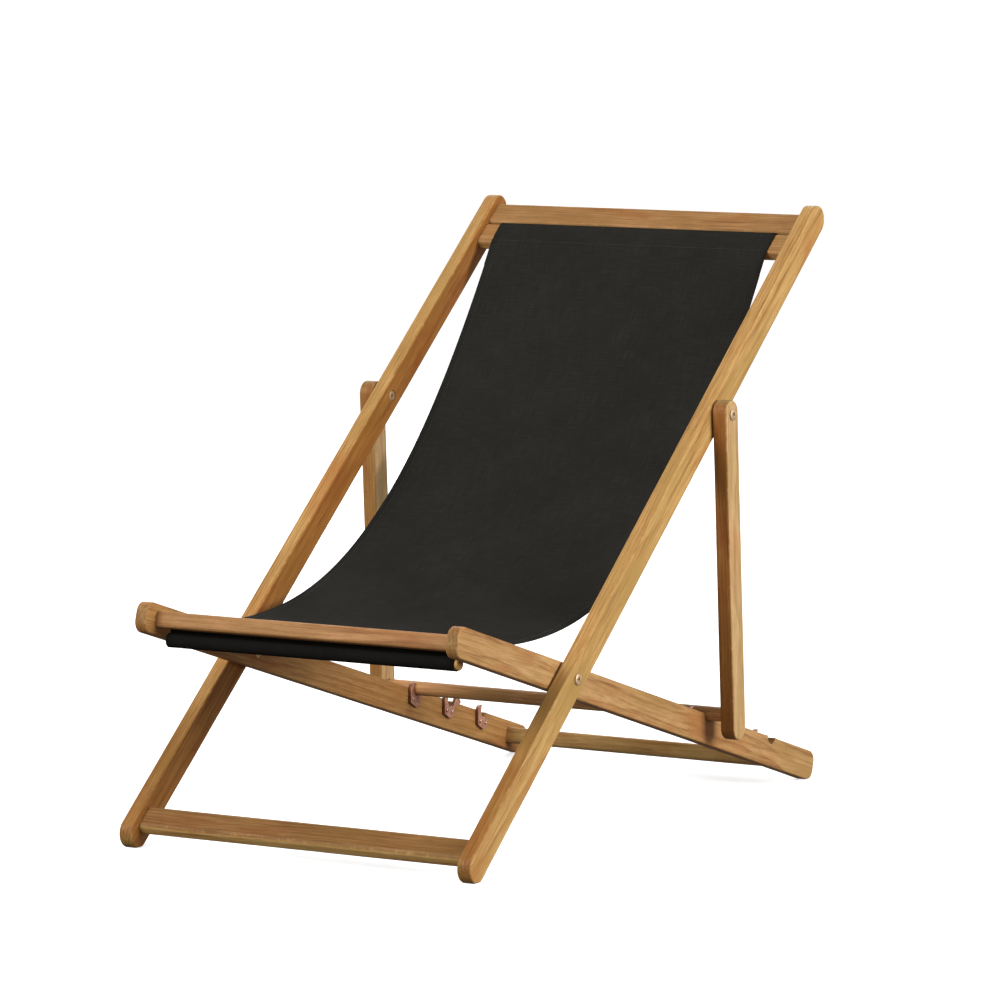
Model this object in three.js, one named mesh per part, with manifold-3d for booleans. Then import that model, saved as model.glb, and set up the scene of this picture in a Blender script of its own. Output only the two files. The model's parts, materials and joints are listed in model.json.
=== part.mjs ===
// Folding deck chair: two crossing hardwood frames, a prop frame that drops into
// hooks, and a canvas sling held by a dowel in each hem. Millimetres, +Z up, the
// sitter faces -Y, and the chair is symmetric about X = 0. The origin lies on the
// floor under the middle of the chair.
import * as THREE from 'three';
import { mergeVertices } from 'three/addons/utils/BufferGeometryUtils.js';
import Module from 'manifold-3d';

const wasm = await Module();
wasm.setup();

const GAP = 0.3;                 // clearance between touching pieces
const PAST = 1;                  // how far a cutting tool runs past the face it cuts
// how many sides the round shapes have
const DOWEL_SIDES = 20;
const PROP_BAR_SIDES = 24;
const BOLT_SIDES = 16;
const SCREW_SIDES = 8;
const HEM_STEPS = 10;
const HOOK_STEPS = 7;
const BAR_CORNER_STEPS = 3;
const EDGE = 3;                  // rounding along the rails
const HALF_WIDTH = 280;          // middle plane to a back rail's outer face

// back frame: distances run up the rail from the main pivot, and out of its front face
const BACK_ANGLE = THREE.MathUtils.degToRad(39.6);
const BACK_DEPTH = 42;
const BACK_THICK = 21.5;
const BACK_TOP = 954;
const BACK_FOOT = 369;
const CROSSBAR_WIDTH = 40;
const CROSSBAR_OUT = 2;          // the crossbars sit this far forward of the rail's centre line
const TOP_CROSSBAR_AT = 914;
const SLING_BAR_AT = 869;
const TOP_BAR_THICK = 18;
const FOOT_CROSSBAR_AT = -326;
const FOOT_BAR_WIDTH = 38;
const FOOT_BAR_THICK = 20;

// seat frame: distances run down the rail from the main pivot, and out of its top edge
const SEAT_ANGLE = THREE.MathUtils.degToRad(16.3);
const SEAT_DEPTH = 43.5;
const SEAT_THICK = 18.5;
const SEAT_FRONT = -295;
const SEAT_CORNER = 16;          // rounding of a seat rail's corners
const SEAT_BAR_DEPTH = 22;
const FRONT_CROSSBAR_AT = -260;
const FRONT_CROSSBAR_TALL = 22;
const FRONT_CROSSBAR_RISE = 0.5;
const REAR_CROSSBAR_AT = 749;
const REAR_CROSSBAR_TALL = 23;
const REAR_CROSSBAR_RISE = 0;

// floor contact: how much of each foot is planed off flat
const FRONT_FOOT_FLAT = 1;
const REAR_FOOT_FLAT = 0.75;

// prop frame
const PROP_PIVOT_AT = 523;       // up the back rail from the main pivot
const STRUT_DEPTH = 37;
const STRUT_THICK = 22.5;
const STRUT_HEAD = 20.5;         // prop pivot to the strut's top
const STRUT_TAIL = 35;           // prop bar to the strut's foot
const PROP_BAR_RADIUS = 10.5;
const PROP_BAR_SOCKET = 12;

// notches and hook plates
const FIRST_NOTCH_AT = 446.5;
const NOTCH_PITCH = 103.5;
const NOTCH_RISE = 23;           // notch centre above the seat rail's centre line
const NOTCH_RADIUS = 12.3;
const HOOK_THICK = 5;
const HOOK_SCREW_SPREAD = 8;
const HOOK_SCREW_RISE = 5.5;
// outlines of a hook plate as [along, rise] from a notch on the rail's centre line
const HOOK_FRONT = [[-20.5, 22], [-14, -1], [4.5, -5.5]];
const HOOK_REAR_PRONG = [[13.5, 0], [13, 14.5], [28, 21.5], [27.5, 25.5], [23, 27.5], [13, 27]];
const HOOK_REAR_STUB = [[13, -1.5], [15, 8]];
const HOOK_TIP = [[-11, 30], [-15.5, 29], [-19.5, 26]];

// metalwork
const WASHER_RADIUS = 10;
const WASHER_THICK = 1.9;
const RAIL_SPACING = WASHER_THICK + 2 * GAP;
const BOLT = { head: 8.5, headTall: 2.6, rim: 1.2, socket: 2.9, socketDeep: 2, shank: 3, bore: 3.5 };
const NUT = {
  head: 7.5, headTall: 2.2, rim: 1.3, socketDeep: 1.5,
  sleeve: 4.4, sleeveLong: 11, bore: 3.4, boreFrom: 0.6, clear: 4.8,
};
const SCREW = {
  head: 3.5, headTall: 1.7, rim: 0.6, recess: 1.5, recessDeep: 0.9,
  shank: 1.8, long: 15, point: 3, clear: 2.2,
};
const EASE = 0.5;                // small chamfers on the metalwork
const NUT_RECESS = { radius: 8.2, deep: 2.8 };

// sling and its two dowels
const DOWEL_RADIUS = 8.5;
const CLOTH = 1.2;
const CLOTH_ROOM = 0.5;          // extra room where the cloth passes behind a bar
const CLOTH_BEND = 4;            // how sharply the cloth turns over the sling bar
const SLING_HALF_WIDTH = 232;
const TOP_DOWEL_HALF = 240;
const FRONT_DOWEL = { from: -224, to: 237.2, along: -247, rise: -24.5 };
const SAG_FROM_BACK = { along: 293, out: -170.4 };   // curve handles of the sagging cloth
const SAG_FROM_SEAT = { along: 68.3, out: 47.8 };

const TENON = { long: 12, wide: 0.6, thick: 0.5 };   // wide and thick are shares of the bar's section

// ---- derived sizes ----
const BACK_INNER = HALF_WIDTH - BACK_THICK;
const SEAT_OUTER = BACK_INNER - RAIL_SPACING;
const SEAT_INNER = SEAT_OUTER - SEAT_THICK;
const STRUT_INNER = HALF_WIDTH + RAIL_SPACING;
const STRUT_OUTER = STRUT_INNER + STRUT_THICK;
const PIVOT_BOLT_END = SEAT_INNER + 2.5;
const PROP_BOLT_END = BACK_INNER + NUT_RECESS.deep + 2;
const BACK_R = BACK_DEPTH / 2;
const SEAT_R = SEAT_DEPTH / 2;
const FOOT_CENTRE = BACK_FOOT - BACK_R;
const PIVOT_HEIGHT = FOOT_CENTRE * Math.sin(BACK_ANGLE) + BACK_R - FRONT_FOOT_FLAT;
const SEAT_CORNER_RISE = SEAT_R - SEAT_CORNER;       // centre line to a corner's centre
const REAR_CORNER_HEIGHT = SEAT_CORNER - REAR_FOOT_FLAT;
const REAR_CORNER_DROP = PIVOT_HEIGHT - REAR_CORNER_HEIGHT - SEAT_CORNER_RISE * Math.cos(SEAT_ANGLE);
const SEAT_REAR_CORNER = REAR_CORNER_DROP / Math.sin(SEAT_ANGLE);
const FRONT_REACH = FOOT_CENTRE * Math.cos(BACK_ANGLE) + BACK_R;
const REAR_REACH = SEAT_REAR_CORNER * Math.cos(SEAT_ANGLE)
  + SEAT_CORNER_RISE * Math.sin(SEAT_ANGLE) + SEAT_CORNER;
const PIVOT = new THREE.Vector2((FRONT_REACH - REAR_REACH) / 2, PIVOT_HEIGHT);
const TOP_BAR_REAR = CROSSBAR_OUT - TOP_BAR_THICK / 2;
const TOP_BAR_FRONT = CROSSBAR_OUT + TOP_BAR_THICK / 2;
const HEM_RADIUS = DOWEL_RADIUS + GAP + CLOTH;
const TOP_DOWEL = {
  along: (TOP_CROSSBAR_AT + SLING_BAR_AT) / 2,
  out: TOP_BAR_REAR - HEM_RADIUS - CLOTH_ROOM,
};

// A point of the side view, in (y, z), from its place on the back or the seat frame.
function onBack(along, out) {
  return new THREE.Vector2(along, out).rotateAround(new THREE.Vector2(), BACK_ANGLE).add(PIVOT);
}
function onSeat(along, rise) {
  return new THREE.Vector2(along, rise).rotateAround(new THREE.Vector2(), -SEAT_ANGLE).add(PIVOT);
}
const PROP_PIVOT = onBack(PROP_PIVOT_AT, 0);
const PROP_BAR = onSeat(FIRST_NOTCH_AT, NOTCH_RISE);
const STRUT_LENGTH = PROP_PIVOT.distanceTo(PROP_BAR);
const STRUT_LEAN = Math.atan2(PROP_BAR.x - PROP_PIVOT.x, PROP_PIVOT.y - PROP_BAR.y);

// ---- materials ----
const matte = (name, color, roughness, metalness = 0) =>
  new THREE.MeshStandardMaterial({ name, color, roughness, metalness, flatShading: true });
const WOOD = matte('oiled_hardwood', 0xb98a54, 0.55);
const CANVAS = matte('charcoal_canvas', 0x2c2b27, 0.9);
const COPPER = matte('copper_plate', 0xb07f70, 0.35, 0.8);
const BRASS = matte('pale_brass', 0xcdb98a, 0.3, 0.85);

// ---- solids: joining, cutting and turning ----
function toSolid(geometry) {
  const bare = geometry.clone();
  bare.deleteAttribute('normal');
  bare.deleteAttribute('uv');
  const merged = mergeVertices(bare, 1e-4);
  return new wasm.Manifold(new wasm.Mesh({
    numProp: 3,
    vertProperties: merged.attributes.position.array,
    triVerts: Uint32Array.from(merged.index.array),
  }));
}
function toGeometry(solid) {
  const mesh = solid.getMesh();
  const geometry = new THREE.BufferGeometry();
  geometry.setAttribute('position', new THREE.BufferAttribute(mesh.vertProperties, 3));
  geometry.setIndex(new THREE.BufferAttribute(mesh.triVerts, 1));
  geometry.computeVertexNormals();
  return geometry;
}
function cut(geometry, tools) {
  return toGeometry(tools.reduce((solid, tool) => solid.subtract(toSolid(tool)), toSolid(geometry)));
}
function join(geometries) {
  return toGeometry(geometries.map(toSolid).reduce((a, b) => a.add(b)));
}

// Turns a shape's plane into the side view, (y, z), and its extrusion into +X.
const SIDE_VIEW = new THREE.Matrix4().makeBasis(
  new THREE.Vector3(0, 1, 0), new THREE.Vector3(0, 0, 1), new THREE.Vector3(1, 0, 0));

// Extrudes a side-view shape from x = from to x = to, with its edges rounded by edge.
function sideways(shape, from, to, edge = 0, curveSegments = 8) {
  const geometry = new THREE.ExtrudeGeometry(shape, {
    depth: to - from - 2 * edge,
    bevelEnabled: edge > 0,
    bevelThickness: edge,
    bevelSize: edge,
    bevelOffset: -edge,
    bevelSegments: 2,
    curveSegments,
    steps: 1,
  });
  return geometry.translate(0, 0, from + edge).applyMatrix4(SIDE_VIEW);
}
function rod(radius, from, to, along = 0, out = 0, sides = 16) {
  const geometry = new THREE.CylinderGeometry(radius, radius, to - from, sides);
  return geometry.rotateZ(-Math.PI / 2).translate((from + to) / 2, along, out);
}
// A turned piece on the X axis; its profile is a list of [radius, x].
function turned(profile, sides) {
  const points = profile.map(([radius, x]) => new THREE.Vector2(radius, x));
  return new THREE.LatheGeometry(points, sides).rotateZ(-Math.PI / 2);
}
// Rebuilds a piece of the right-hand side for either side of the chair.
function onSide(side, geometry) {
  if (side > 0) return geometry;
  const turnedRound = toSolid(geometry).mirror([1, 0, 0]);
  return toGeometry(turnedRound);
}
function mesh(name, geometry, material) {
  const piece = new THREE.Mesh(geometry, material);
  piece.name = name;
  return piece;
}

// ---- wooden pieces ----
// The space under the floor, seen from a frame turned by angle about the main pivot.
// It planes the flats on the feet.
function underFloor(angle) {
  const deep = 40;
  const block = new THREE.BoxGeometry(4 * HALF_WIDTH, 3 * BACK_TOP, deep);
  return block.translate(0, 0, -PIVOT_HEIGHT - deep / 2).rotateX(-angle);
}

function backRail() {
  const shape = new THREE.Shape();
  shape.absarc(-FOOT_CENTRE, 0, BACK_R, 0.5 * Math.PI, 1.5 * Math.PI, false);
  shape.absarc(BACK_TOP - BACK_R, 0, BACK_R, -0.5 * Math.PI, 0.5 * Math.PI, false);
  const bars = [
    [TOP_CROSSBAR_AT, CROSSBAR_WIDTH, TOP_BAR_THICK],
    [SLING_BAR_AT, CROSSBAR_WIDTH, TOP_BAR_THICK],
    [FOOT_CROSSBAR_AT, FOOT_BAR_WIDTH, FOOT_BAR_THICK],
  ];
  const mortises = bars.map(([at, width, thick]) =>
    mortise(at, CROSSBAR_OUT, width, thick, BACK_INNER));
  const recess = BACK_INNER + NUT_RECESS.deep;
  return cut(sideways(shape, BACK_INNER, HALF_WIDTH, EDGE), [
    ...mortises,
    underFloor(BACK_ANGLE),
    rod(BOLT.bore, BACK_INNER - PAST, HALF_WIDTH + PAST),
    rod(BOLT.bore, BACK_INNER - PAST, HALF_WIDTH + PAST, PROP_PIVOT_AT),
    rod(NUT.clear, BACK_INNER - PAST, recess + NUT.sleeveLong + PAST, PROP_PIVOT_AT),
    rod(NUT_RECESS.radius, BACK_INNER - PAST, recess, PROP_PIVOT_AT),
  ]);
}

function seatRail() {
  const shape = new THREE.Shape();
  const corner = (along, rise, quarter) => shape.absarc(along, rise, SEAT_CORNER,
    quarter * 0.5 * Math.PI, (quarter + 1) * 0.5 * Math.PI, false);
  corner(SEAT_FRONT + SEAT_CORNER, SEAT_CORNER_RISE, 1);
  corner(SEAT_FRONT + SEAT_CORNER, -SEAT_CORNER_RISE, 2);
  corner(SEAT_REAR_CORNER, -SEAT_CORNER_RISE, 3);
  corner(SEAT_REAR_CORNER, SEAT_CORNER_RISE, 4);
  const lip = Math.asin((NOTCH_RISE - SEAT_R) / NOTCH_RADIUS);
  for (let i = 2; i >= 0; i -= 1) {
    shape.absarc(notchAt(i), NOTCH_RISE, NOTCH_RADIUS, -lip, -Math.PI + lip, true);
  }
  const screwHoles = [0, 1, 2].flatMap((i) => [-1, 1].map((way) =>
    rod(SCREW.clear, SEAT_INNER - PAST, SEAT_INNER + SCREW.long - HOOK_THICK + PAST,
      notchAt(i) + way * HOOK_SCREW_SPREAD, HOOK_SCREW_RISE, SCREW_SIDES)));
  return cut(sideways(shape, SEAT_INNER, SEAT_OUTER, EDGE), [
    mortise(FRONT_CROSSBAR_AT, FRONT_CROSSBAR_RISE, SEAT_BAR_DEPTH, FRONT_CROSSBAR_TALL, SEAT_INNER),
    mortise(REAR_CROSSBAR_AT, REAR_CROSSBAR_RISE, SEAT_BAR_DEPTH, REAR_CROSSBAR_TALL, SEAT_INNER),
    rod(BOLT.bore, SEAT_INNER - PAST, SEAT_OUTER + PAST),
    rod(NUT.clear, SEAT_INNER - PAST, SEAT_INNER + NUT.sleeveLong + PAST),
    underFloor(-SEAT_ANGLE),
    ...screwHoles,
  ]);
}

function notchAt(i) {
  return FIRST_NOTCH_AT + i * NOTCH_PITCH;
}

function tenonBox(along, out, width, thick, from, long, gap) {
  const size = [long, width * TENON.wide + 2 * gap, thick * TENON.thick + 2 * gap];
  return new THREE.BoxGeometry(...size).translate(from + long / 2, along, out);
}
function mortise(along, out, width, thick, face) {
  return tenonBox(along, out, width, thick, face - PAST, TENON.long + PAST + GAP, GAP);
}
// A crossbar with rounded long edges and a tenon at each end.
function crossbar(along, out, width, thick, face, edge) {
  const shape = new THREE.Shape();
  const [w, t] = [width / 2, thick / 2];
  shape.absarc(along + w - edge, out - t + edge, edge, -0.5 * Math.PI, 0, false);
  shape.absarc(along + w - edge, out + t - edge, edge, 0, 0.5 * Math.PI, false);
  shape.absarc(along - w + edge, out + t - edge, edge, 0.5 * Math.PI, Math.PI, false);
  shape.absarc(along - w + edge, out - t + edge, edge, Math.PI, 1.5 * Math.PI, false);
  const end = face - GAP;
  const right = tenonBox(along, out, width, thick, end - PAST, TENON.long + PAST, 0);
  const left = tenonBox(along, out, width, thick, -end - TENON.long, TENON.long + PAST, 0);
  return join([sideways(shape, -end, end, 0, BAR_CORNER_STEPS), left, right]);
}

function strut() {
  const shape = new THREE.Shape();
  const end = STRUT_DEPTH / 2;
  shape.absarc(0, STRUT_HEAD - end, end, 0, Math.PI, false);
  shape.absarc(0, -STRUT_LENGTH - STRUT_TAIL + end, end, Math.PI, 2 * Math.PI, false);
  const socket = STRUT_INNER + PROP_BAR_SOCKET + GAP;
  return cut(sideways(shape, STRUT_INNER, STRUT_OUTER, EDGE), [
    rod(BOLT.bore, STRUT_INNER - PAST, STRUT_OUTER + PAST),
    rod(PROP_BAR_RADIUS + GAP, STRUT_INNER - PAST, socket, 0, -STRUT_LENGTH, PROP_BAR_SIDES),
  ]);
}

// ---- metal pieces ----
// A hook plate: a tall front prong, a round seat for the prop bar, and, where the
// plate has one, a rear prong. Its lower edge comes to a blunt point.
function hookPlate(at, rearProng) {
  const seat = PROP_BAR_RADIUS + GAP;
  const stubTurn = -0.3 * Math.PI;       // where the seat ends on a plate without a rear prong
  const shape = new THREE.Shape();
  const lines = (points) => points.forEach(([along, rise]) => shape.lineTo(along, rise));
  shape.moveTo(...HOOK_FRONT[0]);
  lines(HOOK_FRONT.slice(1));
  lines(rearProng ? HOOK_REAR_PRONG : HOOK_REAR_STUB);
  if (rearProng) shape.lineTo(seat, NOTCH_RISE);
  shape.absarc(0, NOTCH_RISE, seat, rearProng ? 0 : stubTurn, -Math.PI, true);
  lines(HOOK_TIP);
  const face = SEAT_INNER - GAP;
  const plate = sideways(shape, face - HOOK_THICK, face, 0, HOOK_STEPS).translate(0, at, 0);
  return cut(plate, [-1, 1].map((way) => rod(SCREW.clear, face - HOOK_THICK - PAST, face + PAST,
    at + way * HOOK_SCREW_SPREAD, HOOK_SCREW_RISE, SCREW_SIDES)));
}

function hookScrew(at) {
  const under = SEAT_INNER - 2 * GAP - HOOK_THICK;
  const top = under - SCREW.headTall;
  const profile = [
    [0, top + SCREW.recessDeep],
    [SCREW.recess, top],
    [SCREW.head - EASE, top + EASE],
    [SCREW.head, under - SCREW.rim],
    [SCREW.head, under],
    [SCREW.shank, under],
    [SCREW.shank, under + SCREW.long - SCREW.point],
    [0, under + SCREW.long],
  ];
  return turned(profile, SCREW_SIDES).translate(0, at, HOOK_SCREW_RISE);
}

// A flat-headed bolt that enters from x = face, with a socket in its head.
function bolt(face, end) {
  const under = face + GAP;
  const top = under + BOLT.headTall;
  return turned([
    [0, end],
    [BOLT.shank - EASE, end],
    [BOLT.shank, end + EASE],
    [BOLT.shank, under],
    [BOLT.head, under],
    [BOLT.head, under + BOLT.rim],
    [BOLT.head - EASE, top - EASE],
    [BOLT.head - 2 * EASE, top],
    [BOLT.socket, top],
    [BOLT.socket, top - BOLT.socketDeep],
    [0, top - BOLT.socketDeep],
  ], BOLT_SIDES);
}
// A sleeve nut whose head lies against x = face and whose sleeve takes the bolt.
function sleeveNut(face) {
  const under = face - GAP;
  const top = under - NUT.headTall;
  const end = face + NUT.sleeveLong;
  return turned([
    [0, top + NUT.socketDeep],
    [BOLT.socket, top + NUT.socketDeep],
    [BOLT.socket, top],
    [NUT.head - EASE, top],
    [NUT.head, under - NUT.rim],
    [NUT.head, under],
    [NUT.sleeve, under],
    [NUT.sleeve, end],
    [NUT.bore, end],
    [NUT.bore, face + NUT.boreFrom],
    [0, face + NUT.boreFrom],
  ], BOLT_SIDES);
}
function washer(from) {
  return turned([
    [BOLT.bore, from],
    [WASHER_RADIUS, from],
    [WASHER_RADIUS, from + WASHER_THICK],
    [BOLT.bore, from + WASHER_THICK],
    [BOLT.bore, from],
  ], BOLT_SIDES);
}

// ---- the sling ----
// The cloth's middle line in the side view: out of the slot between the two top
// bars, down over the sling bar, along the sag, and behind the front crossbar.
function slingLine() {
  const over = TOP_BAR_FRONT + GAP + CLOTH / 2;
  const slot = TOP_DOWEL.along;
  const lower = SLING_BAR_AT - CROSSBAR_WIDTH / 2;
  const behind = FRONT_CROSSBAR_AT + SEAT_BAR_DEPTH / 2 + GAP + CLOTH / 2 + CLOTH_ROOM;
  const line = new THREE.CurvePath();
  const start = onBack(slot, TOP_DOWEL.out + HEM_RADIUS - CLOTH / 2);
  const bend = onBack(slot, over - CLOTH_BEND);
  line.add(new THREE.LineCurve(start, bend));
  const flat = onBack(slot - CLOTH_BEND, over);
  line.add(new THREE.QuadraticBezierCurve(bend, onBack(slot, over), flat));
  line.add(new THREE.LineCurve(flat, onBack(lower, over)));
  const front = onSeat(behind, FRONT_CROSSBAR_RISE);
  line.add(new THREE.CubicBezierCurve(
    onBack(lower, over),
    onBack(SAG_FROM_BACK.along, SAG_FROM_BACK.out),
    onSeat(SAG_FROM_SEAT.along, SAG_FROM_SEAT.out),
    front));
  const hem = onSeat(FRONT_DOWEL.along, FRONT_DOWEL.rise + HEM_RADIUS - CLOTH / 2);
  line.add(new THREE.LineCurve(front, hem));
  return line;
}

function sling() {
  const steps = { LineCurve: 1, QuadraticBezierCurve: 3, CubicBezierCurve: 36 };
  const points = slingLine().curves.flatMap((curve, i) =>
    curve.getPoints(steps[curve.type]).slice(i === 0 ? 0 : 1));
  const normals = points.map((point, i) => {
    const after = points[Math.min(i + 1, points.length - 1)];
    const along = after.clone().sub(points[Math.max(i - 1, 0)]);
    return new THREE.Vector2(-along.y, along.x).normalize().multiplyScalar(CLOTH / 2);
  });
  const front = points.map((point, i) => point.clone().add(normals[i]));
  const rear = points.map((point, i) => point.clone().sub(normals[i]));
  const section = new THREE.Shape([...front, ...rear.reverse()]);
  const strip = sideways(section, -SLING_HALF_WIDTH, SLING_HALF_WIDTH);
  const hems = [
    onBack(TOP_DOWEL.along, TOP_DOWEL.out),
    onSeat(FRONT_DOWEL.along, FRONT_DOWEL.rise),
  ];
  const loops = hems.map((centre) => {
    const loop = new THREE.Shape();
    loop.absarc(centre.x, centre.y, HEM_RADIUS, 0, 2 * Math.PI, false);
    const hole = new THREE.Path();
    hole.absarc(centre.x, centre.y, DOWEL_RADIUS + GAP, 0, 2 * Math.PI, true);
    loop.holes.push(hole);
    return sideways(loop, -SLING_HALF_WIDTH, SLING_HALF_WIDTH, 0, HEM_STEPS);
  });
  return join([strip, ...loops]);
}

// ---- assembly ----
const SIDES = [['left', -1], ['right', 1]];

function backFrame() {
  const frame = new THREE.Group();
  for (const [word, side] of SIDES) {
    const washers = [washer(SEAT_OUTER + GAP), washer(HALF_WIDTH + GAP)];
    const nut = sleeveNut(BACK_INNER + NUT_RECESS.deep).translate(0, PROP_PIVOT_AT, 0);
    frame.add(
      mesh(`back_rail_${word}`, onSide(side, backRail()), WOOD),
      mesh(`pivot_washer_${word}`, onSide(side, washers[0]), BRASS),
      mesh(`pivot_bolt_${word}`, onSide(side, bolt(HALF_WIDTH, PIVOT_BOLT_END)), BRASS),
      mesh(`prop_washer_${word}`, onSide(side, washers[1].translate(0, PROP_PIVOT_AT, 0)), BRASS),
      mesh(`prop_nut_${word}`, onSide(side, nut), BRASS),
    );
  }
  frame.add(
    mesh('top_crossbar', crossbar(TOP_CROSSBAR_AT, CROSSBAR_OUT, CROSSBAR_WIDTH, TOP_BAR_THICK,
      BACK_INNER, 4), WOOD),
    mesh('sling_bar', crossbar(SLING_BAR_AT, CROSSBAR_OUT, CROSSBAR_WIDTH, TOP_BAR_THICK,
      BACK_INNER, 4), WOOD),
    mesh('foot_crossbar', crossbar(FOOT_CROSSBAR_AT, CROSSBAR_OUT, FOOT_BAR_WIDTH, FOOT_BAR_THICK,
      BACK_INNER, 6), WOOD),
    mesh('top_dowel', rod(DOWEL_RADIUS, -TOP_DOWEL_HALF, TOP_DOWEL_HALF,
      TOP_DOWEL.along, TOP_DOWEL.out, DOWEL_SIDES), WOOD),
  );
  frame.position.set(0, PIVOT.x, PIVOT.y);
  frame.rotation.x = BACK_ANGLE;
  return frame;
}

function seatFrame() {
  const frame = new THREE.Group();
  for (const [word, side] of SIDES) {
    frame.add(
      mesh(`seat_rail_${word}`, onSide(side, seatRail()), WOOD),
      mesh(`pivot_nut_${word}`, onSide(side, sleeveNut(SEAT_INNER)), BRASS),
    );
    for (let i = 0; i < 3; i += 1) {
      const name = `hook_${word}_${i + 1}`;
      const at = notchAt(i);
      frame.add(
        mesh(name, onSide(side, hookPlate(at, i < 2)), COPPER),
        mesh(`${name}_screw_a`, onSide(side, hookScrew(at - HOOK_SCREW_SPREAD)), BRASS),
        mesh(`${name}_screw_b`, onSide(side, hookScrew(at + HOOK_SCREW_SPREAD)), BRASS),
      );
    }
  }
  frame.add(
    mesh('front_crossbar', crossbar(FRONT_CROSSBAR_AT, FRONT_CROSSBAR_RISE, SEAT_BAR_DEPTH,
      FRONT_CROSSBAR_TALL, SEAT_INNER, 4), WOOD),
    mesh('rear_crossbar', crossbar(REAR_CROSSBAR_AT, REAR_CROSSBAR_RISE, SEAT_BAR_DEPTH,
      REAR_CROSSBAR_TALL, SEAT_INNER, 4), WOOD),
    mesh('front_dowel', rod(DOWEL_RADIUS, FRONT_DOWEL.from, FRONT_DOWEL.to,
      FRONT_DOWEL.along, FRONT_DOWEL.rise, DOWEL_SIDES), WOOD),
  );
  frame.position.set(0, PIVOT.x, PIVOT.y);
  frame.rotation.x = -SEAT_ANGLE;
  return frame;
}

function propFrame() {
  const frame = new THREE.Group();
  const barHalf = STRUT_INNER + PROP_BAR_SOCKET;
  for (const [word, side] of SIDES) {
    frame.add(
      mesh(`prop_strut_${word}`, onSide(side, strut()), WOOD),
      mesh(`prop_bolt_${word}`, onSide(side, bolt(STRUT_OUTER, PROP_BOLT_END)), BRASS),
    );
  }
  const bar = rod(PROP_BAR_RADIUS, -barHalf, barHalf, 0, -STRUT_LENGTH, PROP_BAR_SIDES);
  frame.add(mesh('prop_bar', bar, WOOD));
  frame.position.set(0, PROP_PIVOT.x, PROP_PIVOT.y);
  frame.rotation.x = STRUT_LEAN;
  return frame;
}

const chair = new THREE.Group();
chair.name = 'folding_deck_chair';
chair.add(backFrame(), seatFrame(), propFrame(), mesh('sling', sling(), CANVAS));

export default chair;
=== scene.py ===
import json
import math
import random

import bmesh
import bpy
from mathutils import Matrix, Vector, noise

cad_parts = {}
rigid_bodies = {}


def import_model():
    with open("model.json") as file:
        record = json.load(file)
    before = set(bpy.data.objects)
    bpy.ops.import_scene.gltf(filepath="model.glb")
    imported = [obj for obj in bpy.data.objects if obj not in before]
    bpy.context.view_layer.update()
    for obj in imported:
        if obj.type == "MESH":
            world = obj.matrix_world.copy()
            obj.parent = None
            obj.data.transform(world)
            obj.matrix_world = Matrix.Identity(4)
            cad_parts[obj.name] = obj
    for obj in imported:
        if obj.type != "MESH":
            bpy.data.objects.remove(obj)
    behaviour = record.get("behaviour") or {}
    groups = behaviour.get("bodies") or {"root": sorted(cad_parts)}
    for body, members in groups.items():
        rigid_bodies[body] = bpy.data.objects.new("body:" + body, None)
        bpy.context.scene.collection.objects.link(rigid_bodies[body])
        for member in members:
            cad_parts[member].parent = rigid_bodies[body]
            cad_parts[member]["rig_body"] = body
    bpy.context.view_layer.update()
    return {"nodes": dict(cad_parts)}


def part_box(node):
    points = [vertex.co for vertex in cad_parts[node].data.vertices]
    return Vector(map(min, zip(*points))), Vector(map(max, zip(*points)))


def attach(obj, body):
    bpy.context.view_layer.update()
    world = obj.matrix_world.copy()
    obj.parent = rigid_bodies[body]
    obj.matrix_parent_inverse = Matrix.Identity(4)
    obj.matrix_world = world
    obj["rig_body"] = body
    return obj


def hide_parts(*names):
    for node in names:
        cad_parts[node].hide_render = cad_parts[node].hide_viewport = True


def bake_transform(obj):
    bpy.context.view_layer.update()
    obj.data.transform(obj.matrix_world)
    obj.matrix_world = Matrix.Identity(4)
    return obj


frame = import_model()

# The folding deck chair's looks: oiled hardwood rails and bars with rounded arrises,
# turned bolts and nuts, copper toned hook plates, and a canvas sling sewn round a
# dowel at each end. Metres, +Z up, the sitter faces -Y.

SIDES = (("left", -1), ("right", 1))
HOOKS = (1, 2, 3)            # from the front

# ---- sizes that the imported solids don't say ----
GAP = 0.0003                 # left between pieces that touch
PAST = 0.001                 # how far a drill starts outside the wood
DRILL_SIDES = 40
ARRIS = 0.0028               # rounding along the rails
ARRIS_STEPS = 5
ARRIS_UNEVEN = 0.14
ROUND_STEPS = 28             # in a half-round end
STRAIGHT_STEP = 0.012        # longest piece of a rail's straight edge
BAR_STEP = 0.015
BAR_CORNER_STEPS = 6
BAR_UNEVEN = 0.0002
ROD_STEP = 0.02
DOWEL_CHAMFER = 0.0012
BAR_CORNERS = {              # rounding of each crossbar's section
    "top_crossbar": 0.004,
    "sling_bar": 0.004,
    "foot_crossbar": 0.006,
    "front_crossbar": 0.004,
    "rear_crossbar": 0.004,
}
SEAT_CORNER = 0.016          # rounding of the seat rails' ends
SEAT_CORNER_STEPS = 12
NOTCH_RADIUS = 0.0123
NOTCH_STEPS = 24
NOTCH_ARRIS = 0.0007         # the notches are only eased
NOTCH_BLEND = 0.012          # over which the rounding grows to the rail's own
NUT_RECESS = {"radius": 0.0082, "deep": 0.0028}
BOLT_BORE = 0.0035
BOLT = {"tall": 0.0026, "socket": 0.0029, "shank": 0.003, "point": 0.0006}
NUT = {"tall": 0.0022, "sleeve": 0.0044}
SCREW = {"tall": 0.0017, "shank": 0.0018, "point": 0.003}
SCREW_SLOT = {"deep": 0.0012, "half_long": 0.0019, "half_wide": 0.00045, "turn": 20}
SCREW_SIDES = 32
METAL_EASE = 0.0003
PLATE_EDGE = 0.0006
SHARP = 38                   # degrees: a sharper edge than this stays crisp

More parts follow.
